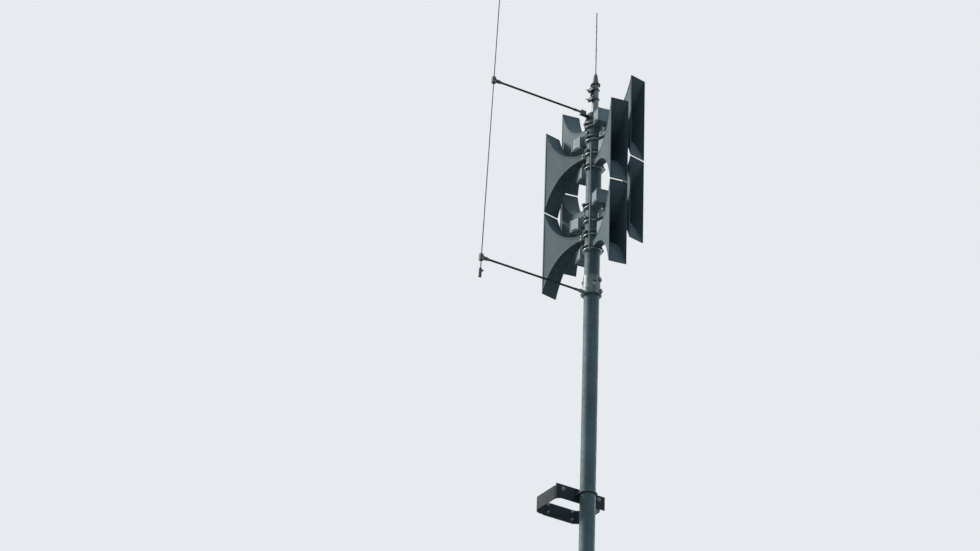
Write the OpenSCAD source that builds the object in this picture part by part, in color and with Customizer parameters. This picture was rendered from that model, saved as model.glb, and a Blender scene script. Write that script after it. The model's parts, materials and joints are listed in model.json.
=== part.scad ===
/* [Mast] */
// Outer diameter of the mast tube
mast_d = 133; // [110:1:150]
// Wall thickness of the mast tube
mast_wall = 4; // [3:0.5:8]
// Distance from the wall face to the mast axis
mast_standoff = 440; // [400:10:700]
// Length of the mast below the lower wall bracket
mast_tail = 250; // [150:10:400]
// Height of the lowest horn's axis above the upper wall bracket
siren_base = 2326; // [2300:10:2800]
// Diameter of the cable entry in the mast's foot
cable_entry_d = 40; // [25:1:60]

/* [Horns] */
// Outer width of a horn's mouth
horn_w = 164; // [160:1:180]
// Outer height of a horn's mouth
mouth_h = 796; // [700:1:900]
// Gap between the mouths of two stacked horns
mouth_gap = 12; // [8:1:30]
// Distance from the mast axis to a horn's mouth
horn_reach = 534; // [500:5:620]
// Outer height of a horn at its throat
throat_h = 56; // [48:1:62]
// Distance from the mast axis at which a horn's straight neck starts to flare
flare_start = 158; // [110:1:170]
// Outer width of a horn at its throat
throat_w = 56; // [48:1:58]
// Sheet thickness of the horns
horn_sheet = 2.5; // [1.5:0.5:4]
// Depth of the folded hem round a horn's mouth
hem_w = 10; // [6:1:14]
// Distance by which the hem stands proud of the sheet
hem_t = 2; // [1:0.5:3]
// Height between the axes of neighbouring horn columns
horn_step = 138; // [136:1:150]
// Angle by which each column turns away from the wall's normal
horn_splay = 10; // [9:0.5:14]

/* [Drivers and collars] */
// Width of a driver housing
driver_w = 134; // [100:1:138]
// Height of a driver housing
driver_h = 128; // [100:1:130]
// Distance from the mast axis to the end of a driver housing
driver_reach = 216; // [190:1:222]
// Distance from the mast axis to the inner end of a driver housing
driver_back = 118; // [104:1:124]
// Corner radius of a driver housing
driver_round = 8; // [4:1:14]
// Thickness of the cover at the end of a driver housing
cover_t = 7; // [4:1:12]
// Height of the slot near the foot of a driver housing's sides
vent_h = 13; // [8:1:18]
// Thickness of the sleeve round the mast that carries a horn
collar_t = 9; // [7:0.5:12]
// Radius of the rib round a sleeve
rib_r = 89; // [84:1:94]
// Thickness of the rib
rib_t = 9; // [6:1:12]
// Reach of the ears past the rib or ring that they clamp
ear_l = 11; // [9:1:16]
// Height of the ears
ear_h = 22; // [18:1:30]
// Diameter of the ear bolts
ear_bolt_d = 8; // [6:1:10]

/* [Antenna] */
// Diameter of the antenna pole
pole_d = 60; // [40:1:70]
// Height of the pole above the mast top
pole_h = 303; // [240:1:400]
// Diameter of the antenna's flange
flange_d = 84; // [70:1:100]
// Height of the antenna's tapered base
taper_h = 85; // [60:5:140]
// Length of the whip above its base
whip_l = 630; // [300:10:900]
// Diameter of the whip
whip_d = 11; // [6:0.5:14]

/* [Lightning rod] */
// Distance from the mast axis to the rod at the upper arm
rod_reach_top = 1045; // [950:5:1100]
// Distance from the mast axis to the rod at the lower arm
rod_reach_low = 1110; // [1105:5:1300]
// Length of the rod
rod_l = 3500; // [2800:50:3900]
// Diameter of the rod
rod_d = 10; // [8:1:16]
// Length of the rod below its lower clamp
rod_tail = 145; // [80:5:200]
// Diameter of the socket for the down conductor
conductor_d = 10; // [6:0.5:12]
// Diameter of the insulating arms
arm_d = 18; // [14:1:26]
// Height of the lower arm's axis above the upper wall bracket
arm_low_z = 1885; // [1700:5:1920]
// Height of the lower arm's collar
arm_collar_h = 180; // [120:5:220]
// Thickness of the lower arm's collar at its foot
arm_collar_t = 20; // [16:1:24]
// Reach of the upper arm's tongue from the mast axis
tongue_reach = 150; // [135:5:180]

/* [Wall brackets] */
// Distance between the two wall brackets
bracket_gap = 1000; // [700:10:1400]
// Outer width of a bracket's hoop
hoop_w = 450; // [420:5:520]
// Distance by which the hoop's middle lies left of the mast axis
hoop_off = 25; // [0:5:40]
// Height of the flat bar that makes the hoop
hoop_h = 120; // [100:5:140]
// Thickness of the flat bar
bar_t = 8; // [6:1:12]
// Bending radius of the hoop's corners
hoop_round = 60; // [25:1:70]
// Width of the wall plate
plate_w = 320; // [300:5:360]
// Height of the wall plate
plate_h = 120; // [100:5:140]
// Thickness of the wall plate
plate_t = 10; // [8:1:16]
// Distance between the anchor holes across the plate
anchor_x = 240; // [200:5:260]
// Distance between the anchor holes up the plate
anchor_z = 70; // [50:5:72]
// Diameter of the anchor holes
anchor_d = 14; // [10:1:18]
// Diameter of the rod that makes the U-bolts
ubolt_d = 16; // [12:1:20]

/* [Hidden] */
// Clearance between a piece and what it seats on
fit = 0.3;
mast_r = mast_d / 2;
horn_pitch = mouth_h + mouth_gap;
collar_r = mast_r + collar_t;
seat_r = collar_r + fit;
collar_over = 3;
collar_h = throat_h + 2 * collar_over;
mouth_half = mouth_h / 2 - hem_t;
flare_rate = ln(2 * mouth_half / throat_h) / (horn_reach - flare_start);
side_slope = (horn_w / 2 - hem_t - throat_w / 2) / (horn_reach - collar_r);
flare_steps = 20;
throat_back = 40;
driver_step = 6;
vent_in = 12;
vent_up = 12;
vent_deep = 9;
top_driver_z = siren_base + 3 * horn_step + horn_pitch + driver_h / 2;
slot_w = 6;
ear_t = 7;
ear_root = 4;
ear_nut_t = 7;
ear_bolt_l = 40;
ear_nut_af = 13;
long_ear_h = 35;
arm_ring_h = 30;
arm_ring_t = 8;
arm_gap = 36;
mast_over_arm = 6;
seat_under = 2;
arm_end = 108;
arm_in = 34;
tongue_t = 8;
tongue_w = 36;
brace_t = 12;
socket_t = 7;
socket_l = 58;
socket_end = 14;
collar_turn = -150;
arm_collar_foot = 20;
foot_share = 0.34;
waist_ear_share = 0.3;
rod_clamp_in = 12;
rod_socket_l = 48;
arm_top_z = top_driver_z + arm_gap;
mast_top = arm_top_z + mast_over_arm;
ring_z = arm_top_z - arm_d / 2 - tongue_t - arm_ring_h / 2 - seat_under;
mast_bottom = -bracket_gap - mast_tail;
cap_t = 8;
plug_l = 30;
pole_wall = 4;
pole_sunk = 120;
pole_top = mast_top + cap_t + pole_h;
flange_t = 12;
flange_plug = 20;
taper_foot_d = 52;
taper_top_d = 26;
neck_d = 22;
neck_l = 18;
whip_tip_d = 15;
clamp_rod_d = 8;
clamp_leg = 46;
saddle_t = 20;
saddle_h = 32;
clamp_drop = 50;
clamp_gap = 96;
clamp_zs = [pole_top - clamp_drop, pole_top - clamp_drop - clamp_gap];
rod_lean = atan((rod_reach_low - rod_reach_top) / (arm_top_z - arm_low_z));
rod_clamp_l = 60;
rod_clamp_w = 34;
connector_l = 82;
connector_d = 26;
connector_web = 44;
conductor_sunk = 36;
screw_up = 22;
screw_out = 4;
screw_af = 17;
screw_l = 16;
rod_tip_l = 40;
rod_tip_d = 4;
hoop_back = plate_t + fit;
hoop_front = mast_standoff - mast_r - fit - bar_t;
face_past = 15;
face_w = hoop_w + 2 * face_past;
plate_round = 12;
ubolt_r = mast_r + fit + ubolt_d / 2;
nut_t = 13;
nut_af = 24;
ubolt_past = 18;
hole_play = 1;
eps = 1;
$fn = 64;

// Half the outer height of a horn at distance u from the mast axis
function flare(u) = u < flare_start ? throat_h / 2 : throat_h / 2 * exp(flare_rate * (u - flare_start));
// Half the inner height, one sheet thickness inside the outer curve
function bore(u) = flare(u) - horn_sheet * (u < flare_start ? 1 : sqrt(1 + pow(flare_rate * flare(u), 2)));
// Half the outer width at distance u
function side(u) = throat_w / 2 + side_slope * (u - collar_r);
function step_u(i) = flare_start + (horn_reach - flare_start) * i / flare_steps;

// Columns from the lowest axis to the highest: 0 front left, 1 rear left, 2 front right, 3 rear right
function column_angle(c) = [-90 - horn_splay, 90 + horn_splay, -90 + horn_splay, 90 - horn_splay][c];
function horn_z(c, level) = siren_base + c * horn_step + level * horn_pitch;

// Places what is drawn about the mast axis
module on_mast(z = 0) {
    translate([0, -mast_standoff, z]) children();
}

// Places what is drawn along +X about the mast axis on a column's axis
module on_column(c, level) {
    on_mast(horn_z(c, level)) rotate([0, 0, column_angle(c)]) children();
}

// Stands a side profile, drawn as distance and height, on edge and gives it a width
module across(width) {
    rotate([90, 0, 0]) linear_extrude(width, center = true) children();
}

module tube(d, wall, h) {
    difference() {
        cylinder(d = d, h = h);
        translate([0, 0, -eps]) cylinder(d = d - 2 * wall, h = h + 2 * eps);
    }
}

module round_rect(w, h, r) {
    square([w - 2 * r, h], center = true);
    square([w, h - 2 * r], center = true);
    for (x = [-1, 1], y = [-1, 1]) translate([x * (w / 2 - r), y * (h / 2 - r)]) circle(r);
}

module hex_nut(across_flats, t) {
    cylinder(d = across_flats / cos(30), h = t, $fn = 6);
}

module mast_tube() {
    color("slategray") on_mast(mast_bottom) tube(mast_d, mast_wall, mast_top - mast_bottom);
}

module mast_foot_cap() {
    color("dimgray") on_mast(mast_bottom - cap_t) {
        difference() {
            union() {
                cylinder(d = mast_d, h = cap_t);
                cylinder(d = mast_d - 2 * mast_wall - 2 * fit, h = cap_t + plug_l);
            }
            translate([0, 0, -eps]) cylinder(d = cable_entry_d, h = cap_t + plug_l + 2 * eps);
        }
    }
}

module mast_top_cap() {
    color("gray") on_mast(mast_top) difference() {
        union() {
            cylinder(d = mast_d, h = cap_t);
            translate([0, 0, -plug_l]) cylinder(d = mast_d - 2 * mast_wall - 2 * fit, h = plug_l + eps);
        }
        translate([0, 0, -plug_l - eps]) cylinder(d = pole_d + 2 * fit, h = plug_l + cap_t + 2 * eps);
    }
}

module antenna_pole() {
    color("silver") on_mast(mast_top - pole_sunk) tube(pole_d, pole_wall, pole_top - mast_top + pole_sunk);
}

module antenna_flange() {
    color("dimgray") on_mast(pole_top) {
        cylinder(d = flange_d, h = flange_t);
        translate([0, 0, -flange_plug]) cylinder(d = pole_d - 2 * pole_wall - 2 * fit, h = flange_plug + eps);
        translate([0, 0, flange_t - eps]) cylinder(d1 = taper_foot_d, d2 = taper_top_d, h = taper_h + eps);
        translate([0, 0, flange_t + taper_h - eps]) cylinder(d = neck_d, h = neck_l);
    }
}

module antenna_whip() {
    whip_z = pole_top + flange_t + taper_h + neck_l - eps;
    color("lightgray") on_mast(whip_z) {
        cylinder(d = whip_d, h = whip_l);
        translate([0, 0, whip_l]) sphere(d = whip_tip_d);
    }
}

// One rod clamp round the antenna pole, with its saddle and thread ends on the left
module pole_clamp(z) {
    ring_r = pole_d / 2 + fit + clamp_rod_d / 2;
    leg = pole_d / 2 + clamp_leg;
    on_mast(z) rotate([0, 0, 180]) {
        rotate([0, 0, 90]) rotate_extrude(angle = 180) translate([ring_r, 0]) circle(d = clamp_rod_d);
        for (s = [-1, 1]) translate([0, s * ring_r, 0]) {
            rotate([0, 90, 0]) cylinder(d = clamp_rod_d, h = leg);
            translate([pole_d / 2 + saddle_t, 0, 0]) rotate([0, 90, 0]) hex_nut(ear_nut_af, ear_nut_t);
        }
        translate([pole_d / 2 + fit, -ring_r - clamp_rod_d, -saddle_h / 2])
            cube([saddle_t - fit, 2 * (ring_r + clamp_rod_d), saddle_h]);
    }
}

module antenna_pole_clamps() {
    color("black") for (z = clamp_zs) pole_clamp(z);
}

// Side profile of a horn: its curved sheets follow the exponential flare
module horn_outline() {
    upper = [for (i = [0:flare_steps]) [step_u(i), flare(step_u(i))]];
    lower = [for (i = [flare_steps:-1:0]) [step_u(i), -flare(step_u(i))]];
    polygon(concat([[throat_back, throat_h / 2]], upper, lower, [[throat_back, -throat_h / 2]]));
}

module horn_hollow() {
    back = throat_h / 2 - horn_sheet;
    upper = [for (i = [0:flare_steps]) [step_u(i), bore(step_u(i))]];
    lower = [for (i = [flare_steps:-1:0]) [step_u(i), -bore(step_u(i))]];
    end = bore(horn_reach);
    polygon(concat([[throat_back - eps, back]], upper, [[horn_reach + eps, end], [horn_reach + eps, -end]],
        lower, [[throat_back - eps, -back]]));
}

// Plan of a horn, whose flat sides open in a straight line from the throat to the mouth
module horn_plan(inset, past) {
    near = side(throat_back) - inset;
    far = side(horn_reach) - inset;
    linear_extrude(2 * mouth_h, center = true) polygon([
        [throat_back - past, near], [horn_reach + past, far], [horn_reach + past, -far], [throat_back - past, -near]
    ]);
}

// Folded hem, which thickens the last of the sheet all round the mouth
module mouth_hem() {
    start = horn_reach - hem_w;
    across(2 * (side(horn_reach) + hem_t)) polygon([
        [start, flare(start)], [horn_reach, mouth_h / 2], [horn_reach, -mouth_h / 2], [start, -flare(start)]
    ]);
}

module horn(c, level) {
    color("slategray") on_column(c, level) difference() {
        union() {
            intersection() {
                across(2 * horn_w) horn_outline();
                horn_plan(0, 0);
            }
            mouth_hem();
        }
        intersection() {
            across(2 * horn_w) horn_hollow();
            horn_plan(horn_sheet, 2 * eps);
        }
        cylinder(r = seat_r, h = 2 * throat_h, center = true);
    }
}

// Side slots of a driver housing, near its foot
module driver_vents() {
    l = driver_reach - cover_t - driver_back - 2 * vent_in;
    for (s = [-1, 1]) translate([-driver_back - vent_in - l, s * driver_w / 2 - vent_deep, vent_up - driver_h / 2])
        cube([l, 2 * vent_deep, vent_h]);
}

// Closed housing opposite its horn, with the duct that joins it to the sleeve
module driver(c, level) {
    body_l = driver_reach - cover_t - driver_back;
    color("gainsboro") on_column(c, level) difference() {
        union() {
            translate([-driver_back, 0, 0]) rotate([0, -90, 0]) linear_extrude(body_l + eps)
                round_rect(driver_h - driver_step, driver_w - driver_step, driver_round);
            translate([-driver_reach + cover_t, 0, 0]) rotate([0, -90, 0]) linear_extrude(cover_t)
                round_rect(driver_h, driver_w, driver_round);
            translate([-driver_back - eps, -throat_w / 2, -throat_h / 2])
                cube([driver_back - throat_back + eps, throat_w, throat_h]);
        }
        driver_vents();
        cylinder(r = seat_r, h = 2 * driver_h, center = true);
    }
}

// Sleeve with a rib round it, open where the horn and the driver's duct pass
module collar_body() {
    pass_w = throat_w + 4 * rib_t;
    translate([0, 0, -collar_h / 2]) tube(2 * collar_r, collar_t - fit, collar_h);
    difference() {
        translate([0, 0, -rib_t / 2]) tube(2 * rib_r, rib_r - collar_r + eps, rib_t);
        translate([0, -pass_w / 2, -rib_t]) cube([2 * rib_r, pass_w, 2 * rib_t]);
        translate([-2 * rib_r, -throat_w / 2 - fit, -rib_t]) cube([2 * rib_r, throat_w + 2 * fit, 2 * rib_t]);
    }
}

// A pair of ears with its bolt on the +Y side of a ring of radius r
module ears(r, h) {
    bolt_at = r + ear_l / 2;
    for (s = [-1, 1]) translate([s * (slot_w + ear_t) / 2, r + (ear_l - ear_root) / 2, 0])
        cube([ear_t, ear_l + ear_root, h], center = true);
    translate([0, bolt_at, 0]) rotate([0, 90, 0]) cylinder(d = ear_bolt_d, h = ear_bolt_l, center = true);
    for (s = [-1, 1]) translate([s * (slot_w / 2 + ear_t), bolt_at, 0])
        rotate([0, s * 90, 0]) hex_nut(ear_nut_af, ear_nut_t);
}

// A two-part ring round the mast, open at a slot on each side
module split_ring(r, h) {
    difference() {
        children();
        cube([slot_w, 2 * r + 2 * ear_l, h + 2 * eps], center = true);
    }
}

module collar(c, level) {
    color("darkgray") on_column(c, level) {
        split_ring(rib_r, collar_h) collar_body();
        for (s = [0, 180]) rotate([0, 0, s]) ears(rib_r, ear_h);
    }
}

// Insulating arm from the mast to the lightning rod, along -X
module arm(z, from, to) {
    on_mast(z) translate([-to, 0, 0]) rotate([0, 90, 0]) cylinder(d = arm_d, h = to - from);
}

module arm_upper() {
    color("black") arm(arm_top_z, arm_end, rod_reach_top - rod_d / 2 - rod_clamp_in);
}

module arm_lower() {
    color("black") arm(arm_low_z, mast_r + arm_in, rod_reach_low - rod_d / 2 - rod_clamp_in);
}

// Socket that takes the mast end of an arm
module arm_socket() {
    from = mast_r + arm_collar_t / 2;
    translate([-from - socket_l, 0, 0]) rotate([0, 90, 0]) difference() {
        cylinder(d = arm_d + 2 * socket_t, h = socket_l);
        translate([0, 0, -eps]) cylinder(d = arm_d + 2 * fit, h = socket_l - socket_end + eps);
    }
}

// Strap near the mast's top with a braced tongue, on which the upper arm's end is clamped
module arm_ring_upper() {
    r = mast_r + arm_ring_t;
    seat_d = arm_d + 2 * socket_t;
    top = arm_top_z - ring_z;
    color("dimgray") on_mast(ring_z) {
        split_ring(r, arm_ring_h) translate([0, 0, -arm_ring_h / 2]) tube(2 * r, arm_ring_t - fit, arm_ring_h);
        for (s = [0, 180]) rotate([0, 0, s]) ears(r, ear_h);
        translate([-tongue_reach, -tongue_w / 2, arm_ring_h / 2 - tongue_t])
            cube([tongue_reach - r + arm_ring_t / 2, tongue_w, tongue_t]);
        rotate([90, 0, 0]) linear_extrude(brace_t, center = true) polygon([
            [arm_ring_t / 2 - r, -arm_ring_h / 2], [arm_ring_t / 2 - r, arm_ring_h / 2 - tongue_t / 2],
            [-tongue_reach + tongue_t, arm_ring_h / 2 - tongue_t / 2]
        ]);
        difference() {
            translate([-tongue_reach, -seat_d / 2, arm_ring_h / 2 - eps])
                cube([tongue_reach - arm_end + socket_t, seat_d, top - arm_ring_h / 2 + seat_d / 2]);
            translate([-tongue_reach - eps, 0, top]) rotate([0, 90, 0])
                cylinder(d = arm_d + 2 * fit, h = tongue_reach - arm_end + fit + eps);
        }
        translate([-(tongue_reach + arm_end) / 2, 0, top + seat_d / 2 - eps]) {
            cylinder(d = ear_bolt_d, h = 2 * ear_nut_t);
            hex_nut(ear_nut_af, ear_nut_t);
        }
    }
}

// Tall two-part collar under the horns, waisted above its foot
module arm_collar_lower() {
    r = mast_r + arm_collar_t;
    waist = mast_r + arm_collar_t / 2;
    half = arm_collar_h / 2;
    foot = foot_share * arm_collar_h;
    bevel = arm_collar_t / 4;
    color("dimgray") {
        on_mast(arm_low_z + half - arm_collar_foot) rotate([0, 0, collar_turn]) {
            split_ring(r, arm_collar_h) rotate_extrude() polygon([
                [mast_r + fit, -half], [r - bevel, -half], [r, bevel - half], [r, foot - bevel - half],
                [waist, foot + bevel - half], [waist, half], [mast_r + fit, half]
            ]);
            for (s = [0, 180]) rotate([0, 0, s]) {
                translate([0, 0, foot / 2 - half]) ears(r, long_ear_h);
                translate([0, 0, waist_ear_share * arm_collar_h]) ears(waist, long_ear_h);
            }
        }
        on_mast(arm_low_z) arm_socket();
    }
}

// Block that holds the rod at the far end of an arm
module rod_clamp(z, reach) {
    on_mast(z) translate([-reach, 0, 0]) rotate([0, rod_lean, 0]) difference() {
        union() {
            linear_extrude(rod_clamp_l, center = true) round_rect(rod_clamp_w, rod_clamp_w, rod_clamp_w / 4);
            rotate([0, 90 - rod_lean, 0]) translate([0, 0, rod_clamp_w / 2 - rod_clamp_in / 2])
                cylinder(d = arm_d + 2 * socket_t, h = rod_socket_l);
        }
        cylinder(d = rod_d + 2 * fit, h = 2 * rod_clamp_l, center = true);
        rotate([0, 90 - rod_lean, 0]) translate([0, 0, rod_d / 2 + rod_clamp_in - fit])
            cylinder(d = arm_d + 2 * fit, h = 2 * rod_socket_l);
    }
}

module rod_clamp_upper() {
    color("black") rod_clamp(arm_top_z, rod_reach_top);
}

module rod_clamp_lower() {
    color("black") rod_clamp(arm_low_z, rod_reach_low);
}

// Places what is drawn along the rod's axis, from its lower end
module on_rod() {
    on_mast(arm_low_z) translate([-rod_reach_low, 0, 0]) rotate([0, rod_lean, 0])
        translate([0, 0, -rod_tail]) children();
}

module lightning_rod() {
    color("lightgray") on_rod() {
        cylinder(d = rod_d, h = rod_l - rod_tip_l);
        translate([0, 0, rod_l - rod_tip_l]) cylinder(d1 = rod_d, d2 = rod_tip_d, h = rod_tip_l);
    }
}

module rod_connector() {
    color("dimgray") on_rod() translate([0, 0, -connector_web - fit]) {
        difference() {
            cylinder(d = connector_d, h = connector_l);
            translate([0, 0, connector_web]) cylinder(d = rod_d + 2 * fit, h = connector_l);
            translate([0, 0, -eps]) cylinder(d = conductor_d, h = conductor_sunk + eps);
        }
        translate([0, 0, connector_web + screw_up]) rotate([0, 90, 0]) translate([0, 0, rod_d / 2 + screw_out])
            hex_nut(screw_af, screw_l);
    }
}

// Places what is drawn about the centre of a bracket's wall face
module on_bracket(z) {
    translate([0, 0, z]) children();
}

// Four holes for the wall anchors, from behind the wall face forwards
module anchor_holes(d, depth) {
    for (x = [-1, 1], y = [-1, 1]) translate([x * anchor_x / 2, eps, y * anchor_z / 2])
        rotate([90, 0, 0]) cylinder(d = d, h = depth + eps);
}

// Bent flat bar from the wall plate round to the mast, with its face bar
module hoop(z) {
    depth = hoop_front - hoop_back;
    color("slategray") on_bracket(z) difference() {
        translate([-hoop_off, 0, 0]) {
            translate([0, -hoop_back - depth / 2, 0]) linear_extrude(hoop_h, center = true) difference() {
                round_rect(hoop_w, depth, hoop_round);
                round_rect(hoop_w - 2 * bar_t, depth - 2 * bar_t, hoop_round - bar_t);
            }
            translate([-face_w / 2, -hoop_front - bar_t, -hoop_h / 2]) cube([face_w, bar_t, hoop_h]);
        }
        anchor_holes(anchor_d + hole_play, hoop_back + 2 * bar_t);
        for (s = [-1, 1]) translate([s * ubolt_r, -hoop_front - bar_t - eps, 0]) rotate([-90, 0, 0])
            cylinder(d = ubolt_d + hole_play, h = 4 * bar_t);
    }
}

module wall_plate(z) {
    color("silver") on_bracket(z) difference() {
        translate([0, -plate_t, 0]) rotate([-90, 0, 0]) linear_extrude(plate_t)
            round_rect(plate_w, plate_h, plate_round);
        anchor_holes(anchor_d, plate_t + eps);
    }
}

module ubolt(z) {
    leg = mast_r + 2 * bar_t + nut_t + ubolt_past;
    color("darkgray") on_mast(z) {
        rotate([0, 0, 180]) rotate_extrude(angle = 180) translate([ubolt_r, 0]) circle(d = ubolt_d);
        for (s = [-1, 1]) translate([s * ubolt_r, 0, 0]) rotate([-90, 0, 0]) {
            cylinder(d = ubolt_d, h = leg);
            translate([0, 0, mast_r + 2 * bar_t + 2 * fit]) hex_nut(nut_af, nut_t);
        }
    }
}

mast_tube();
mast_foot_cap();
mast_top_cap();
antenna_pole();
antenna_flange();
antenna_whip();
antenna_pole_clamps();
horn(0, 0);  // horn_front_left_lower
horn(1, 0);  // horn_rear_left_lower
horn(2, 0);  // horn_front_right_lower
horn(3, 0);  // horn_rear_right_lower
horn(0, 1);  // horn_front_left_upper
horn(1, 1);  // horn_rear_left_upper
horn(2, 1);  // horn_front_right_upper
horn(3, 1);  // horn_rear_right_upper
driver(0, 0);  // driver_front_left_lower
driver(1, 0);  // driver_rear_left_lower
driver(2, 0);  // driver_front_right_lower
driver(3, 0);  // driver_rear_right_lower
driver(0, 1);  // driver_front_left_upper
driver(1, 1);  // driver_rear_left_upper
driver(2, 1);  // driver_front_right_upper
driver(3, 1);  // driver_rear_right_upper
collar(0, 0);  // collar_front_left_lower
collar(1, 0);  // collar_rear_left_lower
collar(2, 0);  // collar_front_right_lower
collar(3, 0);  // collar_rear_right_lower
collar(0, 1);  // collar_front_left_upper
collar(1, 1);  // collar_rear_left_upper
collar(2, 1);  // collar_front_right_upper
collar(3, 1);  // collar_rear_right_upper
arm_upper();
arm_lower();
arm_ring_upper();
arm_collar_lower();
rod_clamp_upper();
rod_clamp_lower();
lightning_rod();
rod_connector();
hoop(0);  // hoop_upper
hoop(-bracket_gap);  // hoop_lower
wall_plate(0);  // wall_plate_upper
wall_plate(-bracket_gap);  // wall_plate_lower
ubolt(0);  // ubolt_upper
ubolt(-bracket_gap);  // ubolt_lower
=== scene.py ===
import json
import math

import bmesh
import bpy
import numpy as np
from mathutils import Matrix, Vector

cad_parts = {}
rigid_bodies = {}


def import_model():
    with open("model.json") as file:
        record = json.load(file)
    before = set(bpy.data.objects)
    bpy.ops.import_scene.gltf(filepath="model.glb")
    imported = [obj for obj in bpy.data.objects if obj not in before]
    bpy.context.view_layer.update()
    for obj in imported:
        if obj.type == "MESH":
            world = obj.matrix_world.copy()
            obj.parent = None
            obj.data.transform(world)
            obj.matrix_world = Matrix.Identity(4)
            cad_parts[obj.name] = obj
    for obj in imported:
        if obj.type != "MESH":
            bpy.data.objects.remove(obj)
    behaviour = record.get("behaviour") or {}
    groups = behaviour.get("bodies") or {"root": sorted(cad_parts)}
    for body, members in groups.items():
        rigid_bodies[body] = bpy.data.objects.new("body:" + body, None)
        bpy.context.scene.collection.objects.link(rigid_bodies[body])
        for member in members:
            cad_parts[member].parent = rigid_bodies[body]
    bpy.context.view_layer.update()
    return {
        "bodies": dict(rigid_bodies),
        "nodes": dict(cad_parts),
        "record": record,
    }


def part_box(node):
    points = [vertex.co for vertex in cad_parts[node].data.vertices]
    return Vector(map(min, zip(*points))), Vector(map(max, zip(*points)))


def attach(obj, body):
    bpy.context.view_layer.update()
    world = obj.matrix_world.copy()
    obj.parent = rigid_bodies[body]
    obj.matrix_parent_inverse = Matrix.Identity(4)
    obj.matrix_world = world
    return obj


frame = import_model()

NODES = frame["nodes"]
ROOT = list(frame["bodies"])[0]

# Sizes, in metres, as the CAD has them: mast, sleeves and horns
STANDOFF = 0.440
MAST_R = 0.0665
COLLAR_R = 0.0755
COLLAR_H = 0.062
RIB_R = 0.089
EAR_L = 0.011
EAR_FACE = 0.010
SIREN_BASE = 2.326
HORN_STEP = 0.138
HORN_PITCH = 0.808
SPLAY = 10.0
HORN_REACH = 0.534
FLARE_START = 0.158
MOUTH_HALF = 0.398
THROAT_HALF = 0.028
HEM_T = 0.002
HEM_W = 0.010
MOUTH_SIDE = 0.080
FLARE_RATE = math.log((MOUTH_HALF - HEM_T) / THROAT_HALF) / (HORN_REACH - FLARE_START)
SIDE_SLOPE = (MOUTH_SIDE - THROAT_HALF) / (HORN_REACH - COLLAR_R)

# Drivers
DRIVER_W = 0.134
DRIVER_H = 0.128
DRIVER_REACH = 0.216
DRIVER_BACK = 0.118
DRIVER_ROUND = 0.008
COVER_T = 0.007
SLOT_UP = 0.0185

# Wall brackets, by the height of their middle
BRACKETS = {"upper": 0.0, "lower": -1.0}
ANCHOR_X = 0.240
ANCHOR_Z = 0.070
HOOP_BACK = 0.0183
HOOP_OFF = 0.025
HOOP_H = 0.120
BAR_T = 0.008
UBOLT_X = 0.0748

# Lower collar: its turn in degrees, the radius and the height of its ears at its foot and at its waist
COLLAR_TURN = -150
FOOT_R = MAST_R + 0.020
FOOT_EAR_Z = 1.8956
WAIST_R = MAST_R + 0.010
WAIST_EAR_Z = 2.009

# Antenna, arms and lightning rod
POLE_R = 0.030
FLANGE_T = 0.012
TAPER_H = 0.085
ANTENNA_NECK_L = 0.018
ARM_R = 0.009
ARM_LOW_Z = 1.885
ARM_TOP_Z = 3.648
ROD_REACH_TOP = 1.045
ROD_REACH_LOW = 1.110

# Every horn's place: its axis's height, one step up for each column and one pitch up for each level, its
# column's angle, and the end of its pieces' names
COLUMNS = [("front_left", -90 - SPLAY), ("rear_left", 90 + SPLAY), ("front_right", -90 + SPLAY),
           ("rear_right", 90 - SPLAY)]
LEVELS = ["lower", "upper"]
PLACES = [(SIREN_BASE + column * HORN_STEP + level * HORN_PITCH, angle, f"{column_name}_{level_name}")
          for level, level_name in enumerate(LEVELS)
          for column, (column_name, angle) in enumerate(COLUMNS)]

# Directions, the two sides of what is built twice and the four corners of what is built four times
UP = np.array([0.0, 0.0, 1.0])
LEFT = np.array([-1.0, 0.0, 0.0])
FRONT = np.array([0.0, -1.0, 0.0])
BACK = np.array([0.0, 1.0, 0.0])
SIDES = (-1, 1)
CORNERS = [(s, v) for s in SIDES for v in SIDES]

# Bolts: hexagon and washer as shares of the thread's diameter, each profile as shares of radius and height.
# Each bolt further down is (diameter, head's height, threaded end's length), each washer (radius, thickness)
HEX_ACROSS = 1.7
HEX_HEIGHT = 0.62
HEX_PROFILE = np.array([(1.0, 0.0), (1.0, 0.82), (0.88, 1.0)])
WASHER_RADIUS = 1.05
WASHER_T = 0.002
WASHER_PROFILE = np.array([(0.97, 0.0), (1.0, 0.3), (1.0, 0.8), (0.96, 1.0)])

# The thread's pitch, its depth as a share of the radius, how much of the end it takes, the end's tip
THREAD_PITCH = 0.0015
THREAD_DEPTH = 0.05
THREAD_SHARE = 0.9
TIP_RADIUS = 0.8

# A domed head's height as a share of its radius, and how far its rim is sunk
DOME_HEIGHT = 0.55
DOME_SUNK = 0.0005

# Meshes: points on a rounded corner, the limit of a bend's mitre, the degrees past which an edge is sharp
CORNER_POINTS = 6
MITRE_LIMIT = 0.35
SHARP_ANGLE = 35


# Shapes, worked out as arrays
def unit(v):
    """The vector divided by its own length."""
    v = np.asarray(v, dtype=float)
    return v / np.linalg.norm(v)


def grid(points, wrap_u=False, wrap_v=False):
    """Quads over a grid of points P(u, v); a wrapped direction joins its last row to its first."""
    nu, nv = points.shape[:2]
    iu = np.arange(nu if wrap_u else nu - 1)
    iv = np.arange(nv if wrap_v else nv - 1)
    a, b = np.meshgrid(iu, iv, indexing="ij")
    a2, b2 = (a + 1) % nu, (b + 1) % nv
    quads = np.stack([a * nv + b, a2 * nv + b, a2 * nv + b2, a * nv + b2], axis=-1).reshape(-1, 4)
    return points.reshape(-1, 3), [tuple(q) for q in quads.tolist()]


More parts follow.
